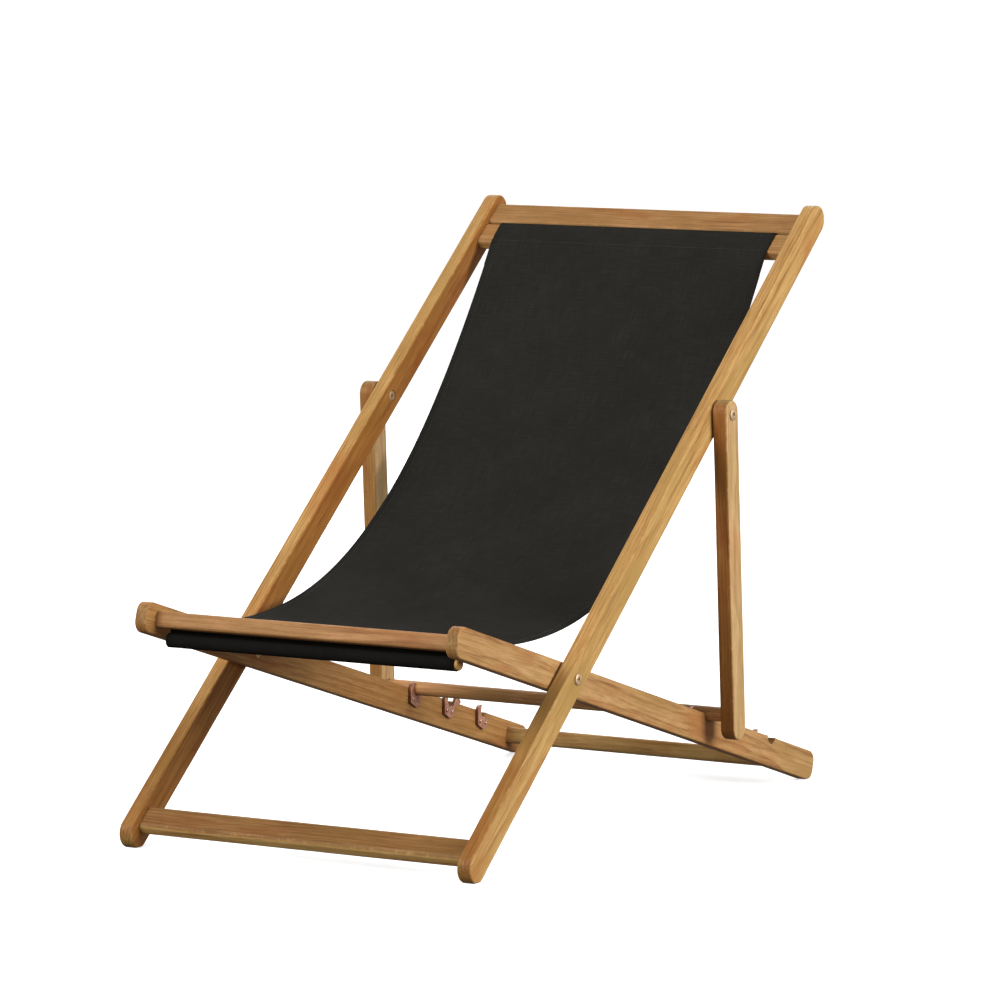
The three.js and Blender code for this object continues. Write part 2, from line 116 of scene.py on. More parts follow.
CLOTH = 0.0012
LAYER = CLOTH + 0.00005      # middle to middle of two layers that lie on each other
SLING_HALF_WIDTH = 0.232
SIDE_HEM = 0.014
TOP_TAIL = 0.026             # how far the sewn tail reaches down the sling bar's front
TAIL_STEP = {"starts": 0.001, "ends": 0.006, "bend": 0.004}    # the cloth's step past its end
TAIL_SEAM = 0.0405           # from the free sag up to the seam that holds the tail
FRONT_TAIL = 0.009
HEM_SHADE = 0.008            # over which the painted shade on the front hem comes in
HEM_STEPS = 40               # round a dowel
SAG_BEND = 0.015             # where the cloth leaves the sling bar
FRONT_BEND = 0.008
FRONT_ROOM = 0.0005          # behind the front crossbar
SAG_FROM_BACK = (0.293, -0.1704)
SAG_FROM_SEAT = (0.0683, 0.0478)
SAG_STEPS = 90
CLOTH_STEP = 0.009
CLOTH_COLUMNS = 40
BELLY = 0.0016               # how far the cloth's middle hangs behind its sides
RIPPLES = ((0.0011, 7, 3.2, 0.7), (0.0005, 21, 5, 4.1))    # depth, across, along, seed
DRAWN_IN = {"by": 0.0065, "over": 0.26}    # the left side, towards the front hem
STITCH = {"long": 0.0034, "pitch": 0.0046, "radius": 0.0003, "sunk": 0.6, "sides": 6}
STITCH_SHAPE = ((0, 0.35), (0.2, 1), (0.8, 1), (1, 0.35))    # share of length, of radius
SIDE_SEAM = 0.0025           # from the folded edge of a side hem
END_SEAM = 0.004             # from the cloth's edge
OFF = 0.001                  # a step off the cloth, which finds the way out of it


# ---- the three turned frames of the chair ----
def centre(node):
    low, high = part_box(node)
    return (low + high) / 2


def turned_frame(origin, ahead):
    """Axes turned about X: the origin in the middle plane, Y towards ahead."""
    way = ahead - origin
    turn = Matrix.Rotation(math.atan2(way.z, way.y), 4, "X")
    return Matrix.Translation((0, origin.y, origin.z)) @ turn


def extents(node, axes):
    """A CAD node's lowest and highest corner in turned axes."""
    back = axes.inverted()
    points = [back @ v.co for v in frame["nodes"][node].data.vertices]
    low = Vector([min(p[k] for p in points) for k in range(3)])
    high = Vector([max(p[k] for p in points) for k in range(3)])
    return low, high


def local_centre(node, axes):
    return axes.inverted() @ centre(node)


PIVOT = centre("pivot_bolt_right")
PROP_PIVOT = centre("prop_bolt_right")
BACK = turned_frame(PIVOT, PROP_PIVOT)
HOOK_WAY = centre("hook_right_3_screw_a") - centre("hook_right_1_screw_a")
SEAT = turned_frame(PIVOT, PIVOT + HOOK_WAY)
PROP = turned_frame(PROP_PIVOT, 2 * PROP_PIVOT - centre("prop_bar"))
PROP_ALONG = local_centre("prop_bolt_right", BACK).y


# ---- node graphs ----
def new_material(name):
    material = bpy.data.materials.new(name)
    material.use_nodes = True
    return material, material.node_tree, material.node_tree.nodes["Principled BSDF"]


def put(tree, kind, inputs=None, **settings):
    """Adds a node. Its inputs are constants or other nodes' sockets."""
    node = tree.nodes.new(kind)
    for key, value in settings.items():
        setattr(node, key, value)
    for key, value in (inputs or {}).items():
        if isinstance(value, bpy.types.NodeSocket):
            tree.links.new(value, node.inputs[key])
        else:
            node.inputs[key].default_value = value
    return node


def calc(tree, operation, a, b=0.0, c=0.0):
    return put(tree, "ShaderNodeMath", {0: a, 1: b, 2: c}, operation=operation).outputs[0]


def scaled(tree, vector, factors):
    node = put(tree, "ShaderNodeVectorMath", {0: vector, 1: factors}, operation="MULTIPLY")
    return node.outputs[0]


def cloud(tree, vector, scale, detail=3.0, rough=0.55):
    inputs = {"Vector": vector, "Scale": scale, "Detail": detail, "Roughness": rough}
    return put(tree, "ShaderNodeTexNoise", inputs)


def ramp(tree, factor, stops):
    node = put(tree, "ShaderNodeValToRGB", {"Fac": factor})
    elements = node.color_ramp.elements
    while len(elements) < len(stops):
        elements.new(1.0)
    for element, (position, colour) in zip(elements, stops):
        element.position = position
        element.color = (*(colour if isinstance(colour, tuple) else 3 * (colour,)), 1)
    return node.outputs["Color"]


def blended(tree, factor, a, b, how="MIX"):
    node = put(tree, "ShaderNodeMix", data_type="RGBA", blend_type=how)
    for key, value in (("Factor_Float", factor), ("A_Color", a), ("B_Color", b)):
        socket = next(s for s in node.inputs if s.identifier == key)
        if isinstance(value, bpy.types.NodeSocket):
            tree.links.new(value, socket)
        else:
            socket.default_value = value if key == "Factor_Float" else (*value, 1)
    return next(s for s in node.outputs if s.identifier == "Result_Color")


def remap(tree, value, low, high, to_low=0.0, to_high=1.0):
    inputs = {"Value": value, "From Min": low, "From Max": high}
    inputs.update({"To Min": to_low, "To Max": to_high})
    return put(tree, "ShaderNodeMapRange", inputs).outputs[0]


def srgb(red, green, blue):
    """A screen colour, 0 to 255, as linear values."""
    shares = [v / 255 for v in (red, green, blue)]
    return tuple(s / 12.92 if s <= 0.04045 else ((s + 0.055) / 1.055) ** 2.4 for s in shares)


# ---- materials ----
def shaded(tree, share, tone, shade):
    """The tone multiplied by shade where share is one."""
    return blended(tree, share, tone, blended(tree, 1.0, tone, shade, "MULTIPLY"))


RING = 0.0052                # spacing of the growth rings
GRAIN = {                    # stretch along the grain, scale, detail, roughness
    "streak": (0.022, 260, 4, 0.62),
    "fibre": (0.03, 1100, 3, 0.65),
    "pore": (0.06, 1900, 1, 0.55),
    "vein": (0.012, 420, 1, 0.4),
    "flame": (0.12, 95, 3, 0.6),
}
OLIVE = (0.84, 0.9, 0.8)     # what the weathered patches do to a tone
RUDDY = (0.86, 0.62, 0.46)   # what the oiled patches do to it
END_SHADE = (0.6, 0.57, 0.44)    # end grain drinks more oil than the sides
HONEY = (srgb(199, 162, 102), srgb(178, 137, 79), srgb(128, 83, 39))
AMBER = (srgb(184, 142, 91), srgb(162, 119, 70), srgb(116, 76, 40))
BUFF = (srgb(192, 153, 103), srgb(171, 129, 79), srgb(121, 77, 40))
RUSSET = (srgb(212, 160, 108), srgb(188, 136, 86), srgb(136, 90, 54))
TAWNY = (srgb(173, 127, 80), srgb(152, 107, 62), srgb(109, 68, 36))
SAND = (srgb(204, 172, 124), srgb(184, 148, 100), srgb(134, 96, 60))


def wood(name, tones, grain="Y", edge=None, inner=None, foot=None):
    """Oiled hardwood as a solid texture: growth rings round a pith beside the board,
    streaks, dark vein lines and pores along the grain, darker end grain, and worn
    arrises. edge, inner and foot are painted shade for the sides that face along Z, the
    side that faces +X, and the lower end of the sides that face along Z."""
    material, tree, shader = new_material(name)
    draw = random.Random(name)
    pith = (draw.uniform(0.05, 0.09), draw.uniform(0, 3), draw.uniform(0.03, 0.08))
    lean = (math.radians(draw.uniform(-0.8, 0.8)), 0, math.pi / 2 if grain == "X" else 0)
    where = put(tree, "ShaderNodeTexCoord")
    inputs = {"Vector": where.outputs["Object"], "Location": pith, "Rotation": lean}
    along = put(tree, "ShaderNodeMapping", inputs).outputs[0]

    drift = cloud(tree, scaled(tree, along, (1, 0.3, 1)), 11, 2).outputs["Color"]
    drifted = put(tree, "ShaderNodeVectorMath", {0: drift, 1: (0.014, 0, 0.014), 2: along},
                  operation="MULTIPLY_ADD").outputs[0]
    across = scaled(tree, drifted, (1, 0, 1))
    radius = put(tree, "ShaderNodeVectorMath", {0: across}, operation="LENGTH").outputs["Value"]
    ring = calc(tree, "FRACT", calc(tree, "DIVIDE", radius, RING))
    late = ramp(tree, ring, [(0.0, 0.3), (0.5, 0.35), (0.85, 0.75), (0.94, 0.9), (1.0, 0.3)])

    streak, fibre, pore, vein, flame = (
        cloud(tree, scaled(tree, drifted, (1, stretch, 1)), *look).outputs["Fac"]
        for stretch, *look in GRAIN.values())
    patch = cloud(tree, scaled(tree, along, (1, 0.3, 1)), 22, 3, 0.6).outputs["Fac"]

    figure = calc(tree, "MULTIPLY_ADD", late, 0.2, calc(tree, "MULTIPLY", streak, 0.5))
    figure = calc(tree, "MULTIPLY_ADD", flame, 0.34, figure)
    figure = calc(tree, "ADD", figure, remap(tree, fibre, 0.3, 0.7, -0.08, 0.08))
    tone = ramp(tree, figure, [(0.36, tones[0]), (0.52, tones[1]), (0.74, tones[2])])
    olive, ruddy = (tuple(v * k for v, k in zip(tones[1], shade)) for shade in (OLIVE, RUDDY))
    tone = blended(tree, remap(tree, patch, 0.5, 0.68, 0, 0.7), tone, olive)
    tone = blended(tree, remap(tree, patch, 0.47, 0.3, 0, 0.75), tone, ruddy)
    open_pore = remap(tree, pore, 0.6, 0.72)
    tone = blended(tree, calc(tree, "MULTIPLY", open_pore, 0.42), tone, tones[2])
    tone = blended(tree, remap(tree, vein, 0.66, 0.72, 0, 0.5), tone, tones[2])

    facing = put(tree, "ShaderNodeSeparateXYZ", {0: where.outputs["Normal"]}).outputs
    narrow = remap(tree, calc(tree, "ABSOLUTE", facing["Z"]), 0.3, 0.8)
    # painted shade: darker sides along Z, a darker +X side and darker lower ends, where less light
    # falls
    if edge:
        tone = shaded(tree, narrow, tone, edge)
    if inner:
        tone = shaded(tree, remap(tree, facing["X"], 0.3, 0.8), tone, inner)
    if foot:
        place = put(tree, "ShaderNodeSeparateXYZ", {0: where.outputs["Object"]}).outputs["Y"]
        low = calc(tree, "MULTIPLY", narrow, remap(tree, place, -0.02, -0.2))
        tone = shaded(tree, low, tone, foot)
    end = remap(tree, calc(tree, "ABSOLUTE", facing[grain]), 0.5, 0.9)
    tone = shaded(tree, end, tone, END_SHADE)

    arris = put(tree, "ShaderNodeAttribute", attribute_name="arris").outputs["Fac"]
    chips = remap(tree, cloud(tree, along, 70, 5, 0.7).outputs["Fac"], 0.52, 0.66)
    worn = calc(tree, "MULTIPLY", arris, calc(tree, "MULTIPLY_ADD", chips, 0.3, 0.06))
    pale = tuple(min(1.0, v * 1.15) for v in tones[0])
    tone = blended(tree, worn, tone, pale)

    tree.links.new(tone, shader.inputs["Base Color"])
    tree.links.new(remap(tree, streak, 0.3, 0.7, 0.5, 0.66), shader.inputs["Roughness"])
    shader.inputs["Specular IOR Level"].default_value = 0.2
    relief = calc(tree, "SUBTRACT", calc(tree, "MULTIPLY", fibre, 0.5), open_pore)
    bump = put(tree, "ShaderNodeBump", {"Height": relief, "Strength": 0.35, "Distance": 0.00025})
    tree.links.new(bump.outputs[0], shader.inputs["Normal"])
    return material


CHARCOAL = (srgb(31, 30, 27), srgb(37, 36, 33), srgb(45, 44, 40))
PAINTED_HEM_SHADOW = srgb(12, 11, 10)       # painted shadow on the front hem's roll


def canvas(name, thread):
    """Plain woven canvas: threads over and under each other, with uneven yarn."""
    material, tree, shader = new_material(name)
    cloth = put(tree, "ShaderNodeUVMap", uv_map="cloth").outputs[0]
    at = put(tree, "ShaderNodeSeparateXYZ", {0: cloth}).outputs
    across, along = (calc(tree, "SINE", calc(tree, "MULTIPLY", at[k], math.pi / thread))
                     for k in (0, 1))
    weave = calc(tree, "MULTIPLY", across, along)
    warp = cloud(tree, scaled(tree, cloth, (1, 0.03, 1)), 900, 2).outputs["Fac"]
    weft = cloud(tree, scaled(tree, cloth, (0.03, 1, 1)), 900, 2).outputs["Fac"]
    yarn = calc(tree, "MULTIPLY_ADD", warp, 0.5, calc(tree, "MULTIPLY", weft, 0.5))
    fade = cloud(tree, cloth, 9, 3).outputs["Fac"]
    level = calc(tree, "MULTIPLY_ADD", weave, 0.05, yarn)
    level = calc(tree, "MULTIPLY_ADD", fade, 0.25, level)
    tone = ramp(tree, level, [(0.42, CHARCOAL[0]), (0.62, CHARCOAL[1]), (0.8, CHARCOAL[2])])
    # painted shadow on the front hem's roll
    hem_shade_share = put(tree, "ShaderNodeAttribute", attribute_name="painted_hem_shade").outputs["Fac"]
    tone = blended(tree, calc(tree, "MULTIPLY", hem_shade_share, 0.7), tone, PAINTED_HEM_SHADOW)
    tree.links.new(tone, shader.inputs["Base Color"])
    shader.inputs["Roughness"].default_value = 1.0
    shader.inputs["Specular IOR Level"].default_value = 0.03
    height = calc(tree, "MULTIPLY_ADD", yarn, 0.8, calc(tree, "MULTIPLY", weave, 0.5))
    bump = put(tree, "ShaderNodeBump", {"Height": height, "Strength": 0.5, "Distance": 0.0003})
    tree.links.new(bump.outputs[0], shader.inputs["Normal"])
    return material


def sewing_thread():
    material, tree, shader = new_material("sewing_thread")
    place = put(tree, "ShaderNodeTexCoord").outputs["Object"]
    tone = ramp(tree, cloud(tree, place, 700, 2).outputs["Fac"],
                [(0.35, srgb(28, 27, 25)), (0.7, srgb(42, 41, 37))])
    tree.links.new(tone, shader.inputs["Base Color"])
    shader.inputs["Roughness"].default_value = 0.7
    return material


def metal(name, deep, bright, rough_brighter, rough_duller, metallic, edge=None, socket=0.0):
    """Plated metal with fine scratches, handling marks, tarnish and duller patches.
    edge is a painted shade on the sheared edges of a plate that lies across X, and a
    painted shade fills a fastener's socket of that radius on the X axis."""
    material, tree, shader = new_material(name)
    place = put(tree, "ShaderNodeTexCoord").outputs["Object"]
    marks = cloud(tree, place, 160, 4, 0.6).outputs["Fac"]
    scratch = cloud(tree, scaled(tree, place, (1, 0.08, 1)), 2600, 2).outputs["Fac"]
    tone = ramp(tree, marks, [(0.34, deep), (0.62, bright)])
    # painted shade on a plate's edge faces
    if edge:
        normal = put(tree, "ShaderNodeTexCoord").outputs["Normal"]
        across = put(tree, "ShaderNodeSeparateXYZ", {0: normal}).outputs["X"]
        painted_edge_shade = remap(tree, calc(tree, "ABSOLUTE", across), 0.85, 0.4)
        tone = shaded(tree, painted_edge_shade, tone, edge)
    # painted shade fills the fastener's socket
    if socket:
        radial = put(tree, "ShaderNodeVectorMath", {0: scaled(tree, place, (0, 1, 1))},
                     operation="LENGTH").outputs["Value"]
        tone = blended(tree, remap(tree, radial, socket, socket * 0.8), tone, PAINTED_SOCKET_SHADE)
    tree.links.new(tone, shader.inputs["Base Color"])
    shader.inputs["Metallic"].default_value = metallic
    rough = remap(tree, marks, 0.35, 0.65, rough_duller, rough_brighter)
    tree.links.new(rough, shader.inputs["Roughness"])
    bump = put(tree, "ShaderNodeBump", {"Height": scratch, "Strength": 0.2, "Distance": 0.00005})
    tree.links.new(bump.outputs[0], shader.inputs["Normal"])
    return material


PAINTED_SOCKET_SHADE = srgb(46, 36, 28)     # painted shade in the fasteners' sockets
# the hook plates' edges get a painted shade
COPPER = metal("copper_plate", srgb(164, 108, 84), srgb(208, 154, 126), 0.42, 0.56, 0.5,
               edge=(0.4, 0.34, 0.28))
SCREWS = metal("copper_screw", srgb(150, 112, 92), srgb(244, 206, 180), 0.3, 0.42, 0.7,
               socket=0.0011)
BRASS = metal("brown_brass", srgb(186, 150, 110), srgb(238, 206, 164), 0.34, 0.46, 0.7,
              socket=0.0025)
CANVAS = canvas("charcoal_canvas", thread=0.0009)
THREAD = sewing_thread()


# ---- meshes ----
def skin(name, rings, wear=None):
    """A closed mesh through rings of points, capped at the first and the last ring. wear
    says how far each ring lies on an arris."""
    form = bmesh.new()
    loops = [[form.verts.new(point) for point in ring] for ring in rings]
    count = len(loops[0])
    for one, two in zip(loops, loops[1:]):
        for i in range(count):
            j = (i + 1) % count
            form.faces.new((one[i], one[j], two[j], two[i]))
    form.faces.new(loops[0])
    form.faces.new(loops[-1])
    bmesh.ops.recalc_face_normals(form, faces=form.faces)
    mesh = bpy.data.meshes.new(name)
    form.to_mesh(mesh)
    form.free()
    if wear:
        arris = mesh.attributes.new("arris", "FLOAT", "POINT")
        arris.data.foreach_set("value", [value for value in wear for _ in range(count)])
    return mesh


def evaluated(piece):
    """A piece's mesh with its modifiers applied."""
    graph = bpy.context.evaluated_depsgraph_get()
    return bpy.data.meshes.new_from_object(piece.evaluated_get(graph), depsgraph=graph)


def drilled(mesh, holes):
    """The mesh with round holes along X, each (radius, from, to, y, z)."""
    blank = bpy.data.objects.new("blank", mesh)
    bpy.context.scene.collection.objects.link(blank)
    drills = []
    for radius, start, end, y, z in holes:
        drill = rod_mesh("drill", radius, start, end, 0, DRILL_SIDES)
        bit = bpy.data.objects.new("drill", drill)
        bit.location = (0, y, z)
        bpy.context.scene.collection.objects.link(bit)
        cut = blank.modifiers.new("hole", "BOOLEAN")
        cut.operation = "DIFFERENCE"
        cut.solver = "EXACT"
        cut.object = bit
        drills.append(bit)
    done = evaluated(blank)
    for spent in [blank, *drills]:
        bpy.data.objects.remove(spent)
    return done


def rod_mesh(name, radius, start, end, chamfer, sides=48):
    """A round rod along X, with its ends chamfered unless chamfer is 0."""
    steps = max(1, round((end - start) / ROD_STEP))
    stations = [(start + (end - start) * k / steps, radius) for k in range(1, steps)]
    if chamfer:
        stations = [(start, radius - chamfer), (start + chamfer, radius), *stations,
                    (end - chamfer, radius), (end, radius - chamfer)]
    else:
        stations = [(start, radius), *stations, (end, radius)]
    rings = []
    for x, r in stations:
        turns = [2 * math.pi * i / sides for i in range(sides)]
        rings.append([Vector((x, r * math.cos(a), r * math.sin(a))) for a in turns])
    wear = [1.0 if r < radius else 0.0 for _, r in stations]
    return skin(name, rings, wear)


def arc(y, z, radius, start, end, steps):
    """Points of an arc about (y, z), with angles in degrees."""
    turns = [math.radians(start + (end - start) * k / steps) for k in range(steps + 1)]
    return [(y + radius * math.cos(a), z + radius * math.sin(a)) for a in turns]


def straight(a, b):
    """The points between a and b, without either end."""
    count = max(1, math.ceil(math.dist(a, b) / STRAIGHT_STEP))
    return [(a[0] + (b[0] - a[0]) * k / count, a[1] + (b[1] - a[1]) * k / count)
            for k in range(1, count)]


def planed(outline, axes):
    """Lifts what would reach below the floor, which leaves the foot a flat."""
    up = axes.to_3x3().inverted() @ Vector((0, 0, 1))
    kept = []
    for y, z in outline:
        under = min(0.0, (axes @ Vector((0, y, z))).z)
        kept.append((y - up.y * under, z - up.z * under))
    return kept


def board_mesh(name, outline, x_from, x_to, arris_at):
    """A board sawn to an outline that runs anticlockwise, with rounded arrises.
    arris_at gives the rounding at a point of the outline."""
    count = len(outline)
    normals = []
    for i in range(count):
        before, after = Vector(outline[i - 1]), Vector(outline[(i + 1) % count])
        here = Vector(outline[i])
        way = (here - before).normalized() + (after - here).normalized()
        normals.append(Vector((way.y, -way.x)).normalized())
    rounding = [arris_at(y, z) for y, z in outline]
    rings, wear = [], []
    for face, side in ((x_from, 1), (x_to, -1)):
        for k in range(ARRIS_STEPS + 1)[::side]:
            turn = 0.5 * math.pi * k / ARRIS_STEPS
            inset, deep = 1 - math.sin(turn), 1 - math.cos(turn)
            rings.append([
                Vector((face + side * r * deep, y - n.x * r * inset, z - n.y * r * inset))
                for (y, z), n, r in zip(outline, normals, rounding)])
            wear.append(math.sin(2 * turn))
    return skin(name, rings, wear)


def bar_mesh(name, low, high, corner):
    """A crossbar along X: a rectangle with round corners, very slightly uneven."""
    near, far = (low.y + corner, high.y - corner)
    under, over = (low.z + corner, high.z - corner)
    section = []
    for y, z, start in ((far, under, -90), (far, over, 0), (near, over, 90), (near, under, 180)):
        section += arc(y, z, corner, start, start + 90, BAR_CORNER_STEPS)
    steps = round((high.x - low.x) / BAR_STEP)
    middle = (low + high) / 2
    rings = []
    for k in range(steps + 1):
        x = low.x + (high.x - low.x) * k / steps
        swell = BAR_UNEVEN * noise.noise(Vector((x * 9, middle.y * 50, middle.z * 50)))
        rings.append([Vector((x, y + math.copysign(swell, y - middle.y),
                              z + math.copysign(swell, z - middle.z))) for y, z in section])
    mesh = skin(name, rings)
    arris = mesh.attributes.new("arris", "FLOAT", "POINT")
    share = [math.sin(math.pi * (i % (BAR_CORNER_STEPS + 1)) / BAR_CORNER_STEPS)
             for i in range(len(section))]
    arris.data.foreach_set("value", share * (steps + 1))
    return mesh


def turned_mesh(name, profile, sides=36):
    """A turned piece on the X axis from (radius, x) pairs. A third value of 6 makes
    that ring a hexagon."""
    rings = []
    for radius, x, *corners in profile:
        ring = []
        for i in range(sides):
            angle = 2 * math.pi * i / sides
            reach = radius
            if corners:
                sector = math.pi / corners[0]
                reach = radius * math.cos(sector) / math.cos(angle % (2 * sector) - sector)
            ring.append(Vector((x, reach * math.cos(angle), reach * math.sin(angle))))
        rings.append(ring)
    return skin(name, rings)


def finish_shading(piece):
    """Smooth faces, crisp edges where the surface turns sharply, and flats kept flat."""
    form = bmesh.new()
    form.from_mesh(piece.data)
    for face in form.faces:
        face.smooth = True
    for edge in form.edges:
        edge.smooth = edge.is_manifold and edge.calc_face_angle(math.pi) < math.radians(SHARP)
    form.to_mesh(piece.data)
    form.free()
    flats = piece.modifiers.new("flats", "WEIGHTED_NORMAL")
    flats.keep_sharp = True


def add(node, mesh, axes, material):
    """Shows a mesh in place of a CAD node, riding on that node's body."""
    piece = bpy.data.objects.new("fine_" + node, mesh)
    bpy.context.scene.collection.objects.link(piece)
    mesh.materials.clear()
    mesh.materials.append(material)
    piece.matrix_world = axes
    finish_shading(piece)
    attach(piece, frame["nodes"][node]["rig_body"])
    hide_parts(node)
    return piece


# ---- wooden pieces ----
def eased(y, z):
    """Hand-sanded arrises are never quite even."""
    return ARRIS * (1 + ARRIS_UNEVEN * noise.noise(Vector((y * 14, z * 14, 0))))


def stadium(low, high, axes):
    """A rail's outline with half-round ends."""
    radius = (high.z - low.z) / 2
    head = arc(high.y - radius, 0, radius, -90, 90, ROUND_STEPS)
    foot = arc(low.y + radius, 0, radius, 90, 270, ROUND_STEPS)
    outline = head + straight(head[-1], foot[0]) + foot + straight(foot[-1], head[0])
    return planed(outline, axes)


def drill_ends(low, high):
    """A board's side of the chair, where a hole through it starts and ends, and its
    inner face."""
    inner, outer = sorted((low.x, high.x), key=abs)
    side = math.copysign(1, inner)
    return side, sorted((inner - side * PAST, outer + side * PAST)), inner


def back_rail(node):
    low, high = extents(node, BACK)
    mesh = board_mesh(node, stadium(low, high, BACK), low.x, high.x, eased)
    side, bore, inner = drill_ends(low, high)
    recess = sorted((inner - side * PAST, inner + side * NUT_RECESS["deep"]))
    holes = [(BOLT_BORE, *bore, 0, 0), (BOLT_BORE, *bore, PROP_ALONG, 0),
             (NUT_RECESS["radius"], *recess, PROP_ALONG, 0)]
    # painted shade: a left rail's inner face, the narrow sides, and their lower end under the
    # sling
    painted_inner_shade = (0.7, 0.49, 0.29) if side < 0 else None
    look = wood(node, HONEY, edge=(0.92, 0.88, 0.86), inner=painted_inner_shade, foot=(0.65, 0.54, 0.4))
    add(node, drilled(mesh, holes), BACK, look)


def notch_places():
    """The notches' centres: midway between their plates' screws, as high as the bar."""
    rise = local_centre("prop_bar", SEAT).z
    places = []
    for number in HOOKS:
        screws = [local_centre(f"hook_right_{number}_screw_{letter}", SEAT).y for letter in "ab"]
        places.append((sum(screws) / 2, rise))
    return places


def seat_rail(node):
    low, high = extents(node, SEAT)
    radius = (high.z - low.z) / 2
    notches = notch_places()
    lip = math.degrees(math.asin((notches[0][1] - radius) / NOTCH_RADIUS))
    inset = radius - SEAT_CORNER
    rear, front = high.y - SEAT_CORNER, low.y + SEAT_CORNER

    def corner(y, z, start):
        return arc(y, z, SEAT_CORNER, start, start + 90, SEAT_CORNER_STEPS)

    outline = corner(rear, -inset, -90) + corner(rear, inset, 0)
    for y, z in reversed(notches):
        cut = arc(y, z, NOTCH_RADIUS, -lip, lip - 180, NOTCH_STEPS)
        outline += straight(outline[-1], cut[0]) + cut
    head = corner(front, inset, 90) + corner(front, -inset, 180)
    outline += straight(outline[-1], head[0]) + head + straight(head[-1], outline[0])

    def arris_at(y, z):
        nearest = min(math.dist((y, z), notch) for notch in notches) - NOTCH_RADIUS
        share = min(1.0, max(0.0, nearest / NOTCH_BLEND))
        return NOTCH_ARRIS + (eased(y, z) - NOTCH_ARRIS) * share

    mesh = board_mesh(node, planed(outline, SEAT), low.x, high.x, arris_at)
    side, bore, _ = drill_ends(low, high)
    # painted shade: a left rail's inner face and the narrow sides
    painted_inner_shade = (0.9, 0.8, 0.66) if side < 0 else None
    look = wood(node, BUFF, edge=(0.8, 0.68, 0.56), inner=painted_inner_shade)
    add(node, drilled(mesh, [(BOLT_BORE, *bore, 0, 0)]), SEAT, look)


def prop_strut(node):
    low, high = extents(node, PROP)
    mesh = board_mesh(node, stadium(low, high, PROP), low.x, high.x, eased)
    side, bore, inner = drill_ends(low, high)
    bar = local_centre("prop_bar", PROP)
    low_bar, high_bar = extents("prop_bar", PROP)
    socket = sorted((inner - side * PAST, side * high_bar.x + side * GAP))
    radius = (high_bar.z - low_bar.z) / 2 + GAP
    holes = [(BOLT_BORE, *bore, 0, 0), (radius, *socket, bar.y, bar.z)]
    # painted shade on the strut's narrow sides
    look = wood(node, SAND, edge=(0.57, 0.35, 0.16) if side > 0 else (0.61, 0.46, 0.27))
    add(node, drilled(mesh, holes), PROP, look)


def crossbar(node, axes, rail, tones, edge=None):
    """A crossbar between the shoulders of its two tenons."""
    low, high = extents(node, axes)
    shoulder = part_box(rail)[0].x - GAP
    low.x, high.x = -shoulder, shoulder
    mesh = bar_mesh(node, low, high, BAR_CORNERS[node])
    add(node, mesh, axes, wood(node, tones, "X", edge))


def dowel(node, axes, tones):
    low, high = extents(node, axes)
    mesh = rod_mesh(node, (high.z - low.z) / 2, low.x, high.x, DOWEL_CHAMFER)
    middle = local_centre(node, axes)
    place = axes @ Matrix.Translation((0, middle.y, middle.z))
    add(node, mesh, place, wood(node, tones, "X"))


# ---- metal pieces ----
def sided(side, axes, y=0, z=0):
    """A place on X for a piece drawn for the right side, turned round for the left."""
    turn = Matrix.Rotation(0 if side > 0 else math.pi, 4, "Z")
    return axes @ Matrix.Translation((0, y, z)) @ turn


def bolt(node, side, axes):
    """A flat round head with a hexagonal socket, and its shank."""
    low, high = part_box(node)
    outer, inner = max(abs(low.x), abs(high.x)), min(abs(low.x), abs(high.x))
    radius = (high.y - low.y) / 2
    under = outer - BOLT["tall"]
    shank, socket, point = BOLT["shank"], BOLT["socket"], BOLT["point"]
    ease = METAL_EASE
    profile = [
        (shank - point, inner), (shank, inner + point), (shank, under),
        (radius - ease, under), (radius, under + ease), (radius, outer - 0.0014),
        (radius - 0.0004, outer - 0.0007), (radius - 0.0012, outer - ease),
        (radius * 0.6, outer), (socket + 0.0006, outer), (socket, outer - ease, 6),
        (socket, outer - 0.0019, 6), (socket * 0.4, outer - 0.0022),
    ]
    add(node, turned_mesh(node, profile), sided(side, axes), BRASS)


def sleeve_nut(node, side, axes, at):
    """A low round head with a hexagonal socket on a sleeve that takes the bolt."""
    low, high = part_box(node)
    outer, inner = min(abs(low.x), abs(high.x)), max(abs(low.x), abs(high.x))
    radius = (high.y - low.y) / 2
    under = outer + NUT["tall"]
    socket = BOLT["socket"]
    profile = [
        (socket * 0.4, outer + 0.0017), (socket, outer + 0.0015, 6),
        (socket, outer + 0.0002, 6), (socket + 0.0006, outer),
        (radius * 0.6, outer), (radius - 0.0008, outer + METAL_EASE), (radius, outer + 0.001),
        (radius, under), (NUT["sleeve"], under), (NUT["sleeve"], inner),
    ]
    add(node, turned_mesh(node, profile), sided(side, axes, at), BRASS)


def washer(node, axes, at):
    low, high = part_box(node)
    radius = (high.y - low.y) / 2
    ease = METAL_EASE
    profile = [
        (BOLT_BORE, low.x + ease), (BOLT_BORE + ease, low.x), (radius - ease, low.x),
        (radius, low.x + ease), (radius, high.x - ease), (radius - ease, high.x),
        (BOLT_BORE + ease, high.x), (BOLT_BORE, high.x - ease),
    ]
    mesh = turned_mesh(node, profile)
    form = bmesh.new()
    form.from_mesh(mesh)
    lids = [face for face in form.faces if len(face.verts) > 4]
    rims = [edge for lid in lids for edge in lid.edges]
    bmesh.ops.delete(form, geom=lids, context="FACES_ONLY")
    bmesh.ops.bridge_loops(form, edges=rims)
    bmesh.ops.recalc_face_normals(form, faces=form.faces)
    form.to_mesh(mesh)
    form.free()
    add(node, mesh, axes @ Matrix.Translation((0, at, 0)), BRASS)


